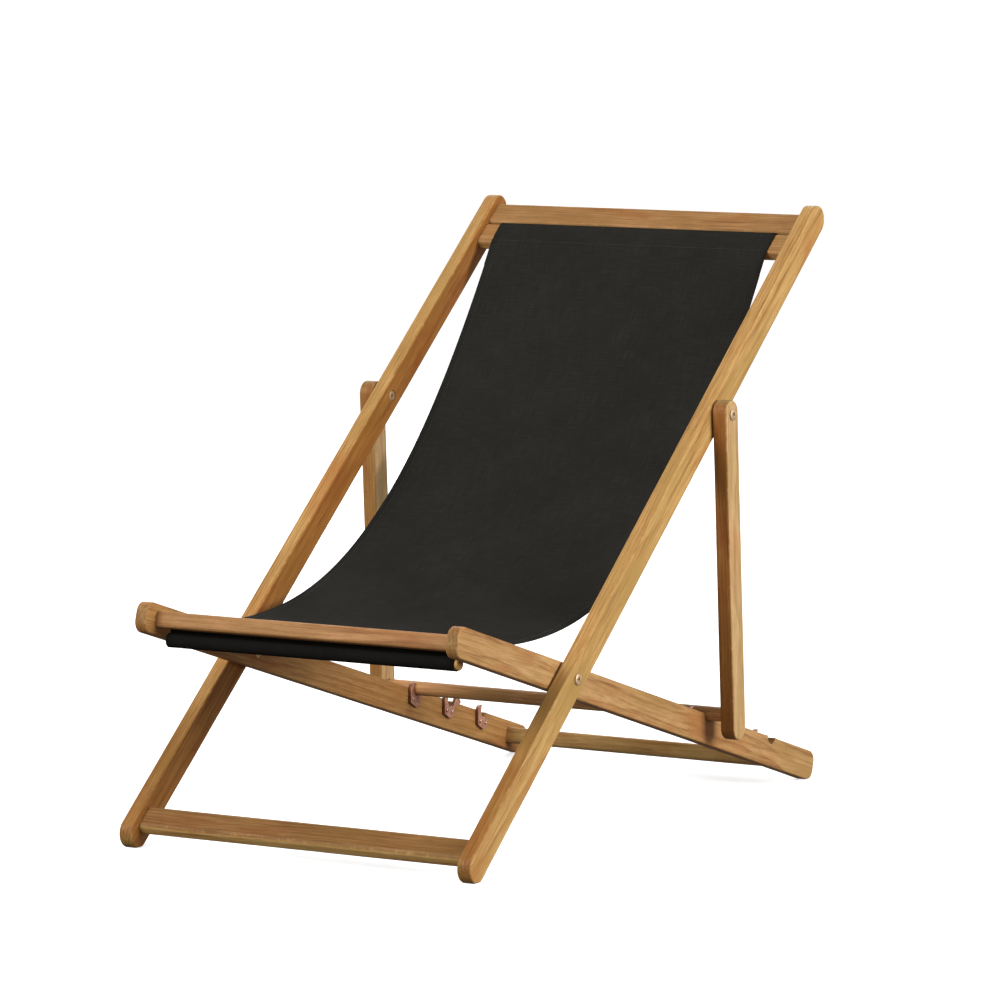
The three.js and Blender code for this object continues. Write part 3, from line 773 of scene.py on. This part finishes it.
def hook_plate(node):
    """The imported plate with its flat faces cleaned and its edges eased."""
    mesh = frame["nodes"][node].data.copy()
    mesh.transform(SEAT.inverted())
    form = bmesh.new()
    form.from_mesh(mesh)
    bmesh.ops.remove_doubles(form, verts=form.verts, dist=1e-6)
    bmesh.ops.dissolve_limit(form, angle_limit=math.radians(1), verts=form.verts,
                             edges=form.edges)
    form.to_mesh(mesh)
    form.free()
    piece = add(node, mesh, SEAT, COPPER)
    ease = piece.modifiers.new("ease", "BEVEL")
    ease.width = PLATE_EDGE
    ease.segments = 3
    ease.limit_method = "ANGLE"
    ease.angle_limit = math.radians(40)
    piece.modifiers.move(1, 0)


def screw_mesh():
    """A domed screw with a crossed slot; the head's top is at x = 0 and faces -X."""
    low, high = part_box("hook_right_1_screw_a")
    radius, long = (high.y - low.y) / 2, high.x - low.x
    tall, shank = SCREW["tall"], SCREW["shank"]
    profile = [
        (radius * 0.3, 0), (radius * 0.6, 0.0001), (radius * 0.85, 0.0004),
        (radius * 0.98, 0.0009), (radius, tall - 0.0002), (radius - 0.0002, tall),
        (shank, tall), (shank, long - SCREW["point"]), (shank * 0.2, long),
    ]
    mesh = turned_mesh("screw", profile, SCREW_SIDES)
    head = bpy.data.objects.new("screw_blank", mesh)
    bpy.context.scene.collection.objects.link(head)
    slots = []
    for turn in (0, 90):
        form = bmesh.new()
        size = (SCREW_SLOT["deep"], 2 * SCREW_SLOT["half_long"], 2 * SCREW_SLOT["half_wide"])
        bmesh.ops.create_cube(form, size=1, matrix=Matrix.Diagonal((*size, 1)))
        slot = bpy.data.objects.new("screw_slot", bpy.data.meshes.new("screw_slot"))
        form.to_mesh(slot.data)
        form.free()
        slot.rotation_euler = (math.radians(turn + SCREW_SLOT["turn"]), 0, 0)
        bpy.context.scene.collection.objects.link(slot)
        cut = head.modifiers.new("slot", "BOOLEAN")
        cut.operation = "DIFFERENCE"
        cut.object = slot
        slots.append(slot)
    done = evaluated(head)
    for spent in [head, *slots]:
        bpy.data.objects.remove(spent)
    return done


def hook_screw(node, side, blank):
    low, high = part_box(node)
    top = min(abs(low.x), abs(high.x))
    middle = local_centre(node, SEAT)
    place = sided(side, SEAT, middle.y, middle.z) @ Matrix.Translation((top, 0, 0))
    add(node, blank.copy(), place, SCREWS)


# ---- the sling ----
def in_side_view(axes, along, out):
    """A point of turned axes as (Y, Z) of the row frame."""
    point = axes @ Vector((0, along, out))
    return Vector((point.y, point.z))


def rounded_line(corners):
    """Points through (point, radius) corners, each turned with its radius."""
    line = [corners[0][0]]
    for (before, _), (here, radius), (after, _) in zip(corners, corners[1:], corners[2:]):
        came, goes = (here - before).normalized(), (after - here).normalized()
        bend = came.angle(goes)
        if radius <= 0 or bend < 1e-4:
            line.append(here)
            continue
        reach = radius * math.tan(bend / 2)
        first, last = here - came * reach, here + goes * reach
        steps = max(2, math.ceil(math.degrees(bend) / 10))
        inward = (goes - came).normalized()
        middle = here + inward * (radius / math.cos(bend / 2))
        out_from, out_to = (first - middle).normalized(), (last - middle).normalized()
        for k in range(steps + 1):
            line.append(middle + out_from.slerp(out_to, k / steps) * radius)
    line.append(corners[-1][0])
    return line


def sewn_loop(axes, middle, radius, start, end):
    """The cloth round a dowel, between two offsets from the loop's middle along Y."""
    first, last = math.asin(start / radius), math.asin(end / radius) - 2 * math.pi
    turns = [first + (last - first) * k / HEM_STEPS for k in range(HEM_STEPS + 1)]
    return [in_side_view(axes, middle.y + radius * math.sin(a), middle.z + radius * math.cos(a))
            for a in turns]


def bezier(a, b, c, d, steps):
    points = []
    for k in range(steps + 1):
        t = k / steps
        u = 1 - t
        points.append(a * u ** 3 + b * 3 * u * u * t + c * 3 * u * t * t + d * t ** 3)
    return points


def cloth_line():
    """The cloth's middle line in the side view, and the two places on it where the
    free sag begins and ends. It starts at the tail sewn in front of the sling bar, goes
    back through the slot and round the top dowel, comes out again, hangs down to the
    seat, and ends round the front dowel."""
    near = GAP + CLOTH / 2
    low, high = extents("sling_bar", BACK)
    corner = BAR_CORNERS["sling_bar"]
    front, over = high.z + near, high.y + near
    top = local_centre("top_dowel", BACK)
    low_dowel, high_dowel = extents("top_dowel", BACK)
    loop_radius = (high_dowel.z - low_dowel.z) / 2 + near
    tail = high.y - TOP_TAIL

    def back(along, out):
        return in_side_view(BACK, along, out)

    def seat(along, rise):
        return in_side_view(SEAT, along, rise)

    loop = sewn_loop(BACK, top, loop_radius, over - top.y, over + LAYER - top.y)
    line = rounded_line([(back(tail, front), 0), (back(over, front), corner + near), (loop[0], 0)])
    line += loop[1:]
    outer = front + LAYER
    foot = back(low.y, front)
    bar_rear = extents("front_crossbar", SEAT)[1].y
    bar_middle = local_centre("front_crossbar", SEAT).z
    behind = bar_rear + near + FRONT_ROOM
    turn = seat(behind, bar_middle)
    sag = bezier(foot, back(*SAG_FROM_BACK), seat(*SAG_FROM_SEAT), turn, SAG_STEPS)
    hem = local_centre("front_dowel", SEAT)
    loop = sewn_loop(SEAT, hem, loop_radius, behind - hem.y, behind + LAYER - hem.y)
    corners = [
        (line[-1], 0),
        (back(over + LAYER, outer), corner + near + LAYER),
        (back(tail - TAIL_STEP["starts"], outer), TAIL_STEP["bend"]),
        (back(tail - TAIL_STEP["ends"], front), TAIL_STEP["bend"]),
        (foot, SAG_BEND),
    ]
    corners += [(point, 0) for point in sag[2:-1]]
    corners += [(turn, FRONT_BEND), (loop[0], 0)]
    line += rounded_line(corners)[1:]
    line += loop[1:]
    line.append(seat(behind + LAYER, hem.z + loop_radius + FRONT_TAIL))
    return line, sag[2], sag[-3]


class Cloth:
    """The sling's surface: a place by its distance along the cloth, its distance from
    the middle plane, and its depth towards the cloth's rear face."""

    def __init__(self):
        line, begins, ends = cloth_line()
        self.points, self.at = [], []
        run = 0.0
        for here, after in zip(line, line[1:]):
            gap = (after - here).length
            pieces = max(1, math.ceil(gap / CLOTH_STEP))
            for k in range(pieces):
                self.points.append(here.lerp(after, k / pieces))
                self.at.append(run + gap * k / pieces)
            run += gap
        self.points.append(line[-1])
        self.at.append(run)
        self.long = run
        self.free = [self.nearest(begins), self.nearest(ends)]
        self.tail_seam = self.free[0] - TAIL_SEAM

    def nearest(self, point):
        return min(zip(self.at, self.points), key=lambda pair: (pair[1] - point).length)[0]

    def place(self, run, x, depth=0.0):
        """The row-frame point at a distance along the cloth, with the hang's unevenness."""
        i = next((k for k, at in enumerate(self.at) if at >= run), len(self.at) - 1)
        i = max(1, i)
        share = (run - self.at[i - 1]) / (self.at[i] - self.at[i - 1])
        here = self.points[i - 1].lerp(self.points[i], share)
        before = self.points[max(0, i - 2)]
        after = self.points[min(len(self.points) - 1, i + 1)]
        way = (after - before).normalized()
        rear = Vector((-way.y, way.x))
        here += rear * (depth + self.slack(run, x))
        return Vector((x + self.drawn_in(run, x), here.x, here.y))

    def drawn_in(self, run, x):
        """How far the cloth's left side is pulled in towards the front hem."""
        share = min(1.0, max(0.0, 1 - (self.free[1] - run) / DRAWN_IN["over"]))
        return DRAWN_IN["by"] * share * max(0.0, -x / SLING_HALF_WIDTH)

    def slack(self, run, x):
        """How far the hanging cloth stands behind its middle line."""
        begin, end = self.free
        share = (run - begin) / (end - begin)
        if not 0 < share < 1:
            return 0.0
        hold = min(1.0, 6 * share, 6 * (1 - share))
        belly = BELLY * (1 - (x / SLING_HALF_WIDTH) ** 2)
        ripple = sum(depth * noise.noise(Vector((x * across, run * along, seed)))
                     for depth, across, along, seed in RIPPLES)
        return hold * hold * (3 - 2 * hold) * (belly + ripple)


def sling_mesh(cloth):
    """One sheet with its side hems folded behind it along the free sag."""
    fold = LAYER / 2
    edge = SLING_HALF_WIDTH - fold - CLOTH / 2
    columns = [edge * (2 * k / CLOTH_COLUMNS - 1) for k in range(CLOTH_COLUMNS + 1)]
    flap = [(edge + fold * math.sin(a), fold - fold * math.cos(a))
            for a in (math.pi * k / 4 for k in range(1, 5))]
    flap += [(edge - SIDE_HEM * k / 3, LAYER) for k in range(1, 4)]
    form = bmesh.new()
    uv = form.loops.layers.uv.new("cloth")
    painted_hem_shade = form.verts.layers.float.new("painted_hem_shade")
    begin, end = cloth.free
    flat = {}

    def point(run, x, depth, flat_x):
        vert = form.verts.new(cloth.place(run, x, depth))
        # painted shade on the front hem's roll, from the end of the free sag on
        vert[painted_hem_shade] = min(1.0, max(0.0, (run - end) / HEM_SHADE))
        flat[vert] = (flat_x, run)
        return vert

    def quads(rows):
        for one, two in zip(rows, rows[1:]):
            for a, b, c, d in zip(one, one[1:], two[1:], two):
                face = form.faces.new((a, b, c, d))
                face.smooth = True
                for loop in face.loops:
                    loop[uv].uv = flat[loop.vert]

    rows = []
    for run in cloth.at:
        reach = 1.0 if begin < run < end else SLING_HALF_WIDTH / edge
        rows.append([point(run, x * reach, 0, x * reach) for x in columns])
    quads(rows)
    for side, column in ((1, -1), (-1, 0)):
        folded = []
        for run, row in zip(cloth.at, rows):
            if begin <= run <= end:
                out = [point(run, side * x, depth, side * (edge + (k + 1) * fold))
                       for k, (x, depth) in enumerate(flap)]
                folded.append([row[column], *out][::side])
        quads(folded)
    mesh = bpy.data.meshes.new("sling")
    form.to_mesh(mesh)
    form.free()
    return mesh


def stitches(rows):
    """Short rounded stitches in rows of (start, end, place). place gives the point at a
    distance along the row and the way out of the cloth there."""
    form = bmesh.new()
    sides = STITCH["sides"]
    ring = [(math.cos(a), math.sin(a)) for a in (2 * math.pi * k / sides for k in range(sides))]
    for start, end, place in rows:
        count = int((end - start) / STITCH["pitch"])
        for k in range(count):
            run = start + (k + 0.5) * (end - start) / count
            head, lift = place(run - STITCH["long"] / 2)
            tail, _ = place(run + STITCH["long"] / 2)
            way = (tail - head).normalized()
            side = way.cross(lift).normalized()
            loops = []
            for share, thick in STITCH_SHAPE:
                middle = head.lerp(tail, share)
                middle += lift * STITCH["radius"] * (thick - STITCH["sunk"])
                radius = STITCH["radius"] * thick
                loops.append([form.verts.new(middle + side * radius * c + lift * radius * s)
                              for c, s in ring])
            for one, two in zip(loops, loops[1:]):
                for i in range(sides):
                    j = (i + 1) % sides
                    form.faces.new((one[i], one[j], two[j], two[i]))
            form.faces.new(loops[0][::-1])
            form.faces.new(loops[-1])
    bmesh.ops.recalc_face_normals(form, faces=form.faces)
    for face in form.faces:
        face.smooth = True
    mesh = bpy.data.meshes.new("stitches")
    form.to_mesh(mesh)
    form.free()
    return mesh


def seam_rows(cloth):
    """The side hems' seams on both faces, and the two hems' seams across."""
    begin, end = cloth.free
    seam = SLING_HALF_WIDTH - SIDE_HEM + SIDE_SEAM
    half = SLING_HALF_WIDTH - END_SEAM
    front, rear = (-CLOTH / 2, -OFF), (LAYER + CLOTH / 2, OFF)

    def on(run, x, face):
        depth, out = face
        here = cloth.place(run, x, depth)
        return here, (cloth.place(run, x, depth + out) - here).normalized()

    def along(x, face):
        return begin, end, lambda run: on(run, x, face)

    def over(run):
        return -half, half, lambda x: on(run, x, front)

    rows = [along(side * seam, face) for side in (1, -1) for face in (front, rear)]
    return [*rows, over(cloth.tail_seam), over(cloth.long - END_SEAM)]


def sling():
    cloth = Cloth()
    piece = bpy.data.objects.new("sling_canvas", sling_mesh(cloth))
    piece.data.materials.append(CANVAS)
    sewing = bpy.data.objects.new("sling_stitching", stitches(seam_rows(cloth)))
    sewing.data.materials.append(THREAD)
    begin, end = cloth.free
    for item in (piece, sewing):
        bpy.context.scene.collection.objects.link(item)
        cloth.place(begin, 0)
        cloth.place(end, 0)
        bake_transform(item)
    thick = piece.modifiers.new("cloth", "SOLIDIFY")
    thick.thickness = CLOTH
    thick.offset = 0
    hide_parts("sling")


# ---- the studio ----
CAMERA = {"azimuth": 29.88, "elevation": 6.10, "roll": 0.289, "distance": 7.56, "lens": 196.2,
          "sensor": 36, "far": 400}
AIM = Vector((0.1175, -0.1746, 0.4727))
LIGHTS = (                   # name, place, size, power
    ("side", (4.6, 0.2, 1.6), 2.2, 215),
    ("front", (-1.6, -4.4, 3.0), 2.6, 250),
    ("rear", (-3.0, 4.4, 3.2), 2.6, 120),
)
LIT = Vector((0, 0, 0.45))   # the point that the lights face
SKY = ((0.42, 0.16), (0.5, 0.6), (0.56, 0.6), (0.75, 0.5))    # height from 0 to 1, level
FLOOR_HALF = 150
FLOOR_GLOW = 0.6


def camera():
    turn, rise, roll = (math.radians(CAMERA[key]) for key in ("azimuth", "elevation", "roll"))
    out = math.cos(rise)
    back = Vector((math.sin(turn) * out, -math.cos(turn) * out, math.sin(rise)))
    right = Vector((math.cos(turn), math.sin(turn), 0))
    up = back.cross(right)
    tilted = right * math.cos(roll) + up * math.sin(roll)
    axes = Matrix((tilted, back.cross(tilted), back)).transposed().to_4x4()
    lens = bpy.data.cameras.new("camera")
    lens.sensor_width = CAMERA["sensor"]
    lens.lens = CAMERA["lens"]
    lens.clip_end = CAMERA["far"]
    eye = bpy.data.objects.new("camera", lens)
    eye.matrix_world = Matrix.Translation(AIM + back * CAMERA["distance"]) @ axes
    bpy.context.scene.collection.objects.link(eye)
    bpy.context.scene.camera = eye


def soft_light(name, place, size, power):
    lamp = bpy.data.lights.new(name, "AREA")
    lamp.size = size
    lamp.energy = power
    holder = bpy.data.objects.new(name, lamp)
    holder.location = place
    holder.rotation_mode = "QUATERNION"
    holder.rotation_quaternion = (LIT - Vector(place)).to_track_quat("-Z", "Y")
    bpy.context.scene.collection.objects.link(holder)


def floor():
    form = bmesh.new()
    bmesh.ops.create_grid(form, x_segments=8, y_segments=8, size=FLOOR_HALF)
    mesh = bpy.data.meshes.new("floor")
    form.to_mesh(mesh)
    form.free()
    material, tree, shader = new_material("pale_floor")
    place = put(tree, "ShaderNodeTexCoord").outputs["Object"]
    tone = ramp(tree, cloud(tree, place, 2, 3).outputs["Fac"], [(0.3, 0.86), (0.7, 0.88)])
    tree.links.new(tone, shader.inputs["Base Color"])
    shader.inputs["Roughness"].default_value = 0.9
    shader.inputs["Specular IOR Level"].default_value = 0.1
    shader.inputs["Emission Color"].default_value = (1, 1, 1, 1)
    shader.inputs["Emission Strength"].default_value = FLOOR_GLOW
    mesh.materials.append(material)
    plane = bpy.data.objects.new("floor", mesh)
    plane.visible_diffuse = False
    plane.visible_glossy = False
    bpy.context.scene.collection.objects.link(plane)


def studio():
    """An even sky that is dark below, soft lights on the right, in front on the left and
    behind on the left, and a floor that glows a little and doesn't light the chair."""
    world = bpy.data.worlds.new("studio")
    world.use_nodes = True
    tree = world.node_tree
    sky = tree.nodes["Background"]
    direction = put(tree, "ShaderNodeTexCoord").outputs["Generated"]
    height = put(tree, "ShaderNodeSeparateXYZ", {0: direction}).outputs["Z"]
    tree.links.new(ramp(tree, remap(tree, height, -1, 1), SKY), sky.inputs["Color"])
    sky.inputs["Strength"].default_value = 1.0
    bpy.context.scene.world = world
    bpy.context.scene.view_settings.view_transform = "Standard"
    for light in LIGHTS:
        soft_light(*light)
    floor()
    camera()


# ---- the chair ----
def chair():
    for word, side in SIDES:
        back_rail(f"back_rail_{word}")
        seat_rail(f"seat_rail_{word}")
        prop_strut(f"prop_strut_{word}")
        bolt(f"pivot_bolt_{word}", side, BACK)
        bolt(f"prop_bolt_{word}", side, PROP)
        washer(f"pivot_washer_{word}", BACK, 0)
        washer(f"prop_washer_{word}", BACK, PROP_ALONG)
        sleeve_nut(f"pivot_nut_{word}", side, SEAT, 0)
        sleeve_nut(f"prop_nut_{word}", side, BACK, PROP_ALONG)
    blank = screw_mesh()
    for word, side in SIDES:
        for number in HOOKS:
            hook_plate(f"hook_{word}_{number}")
            for letter in "ab":
                hook_screw(f"hook_{word}_{number}_screw_{letter}", side, blank)
    # painted shade on the top crossbar's sides that face along Z
    crossbar("top_crossbar", BACK, "back_rail_right", AMBER, (0.82, 0.78, 0.74))
    crossbar("sling_bar", BACK, "back_rail_right", AMBER)
    # painted shade on the foot crossbar's sides that face along Z, under the seat
    crossbar("foot_crossbar", BACK, "back_rail_right", HONEY, (0.47, 0.39, 0.35))
    crossbar("front_crossbar", SEAT, "seat_rail_right", TAWNY)
    crossbar("rear_crossbar", SEAT, "seat_rail_right", HONEY)
    dowel("top_dowel", BACK, HONEY)
    dowel("front_dowel", SEAT, HONEY)
    dowel("prop_bar", PROP, RUSSET)
    sling()


chair()
studio()
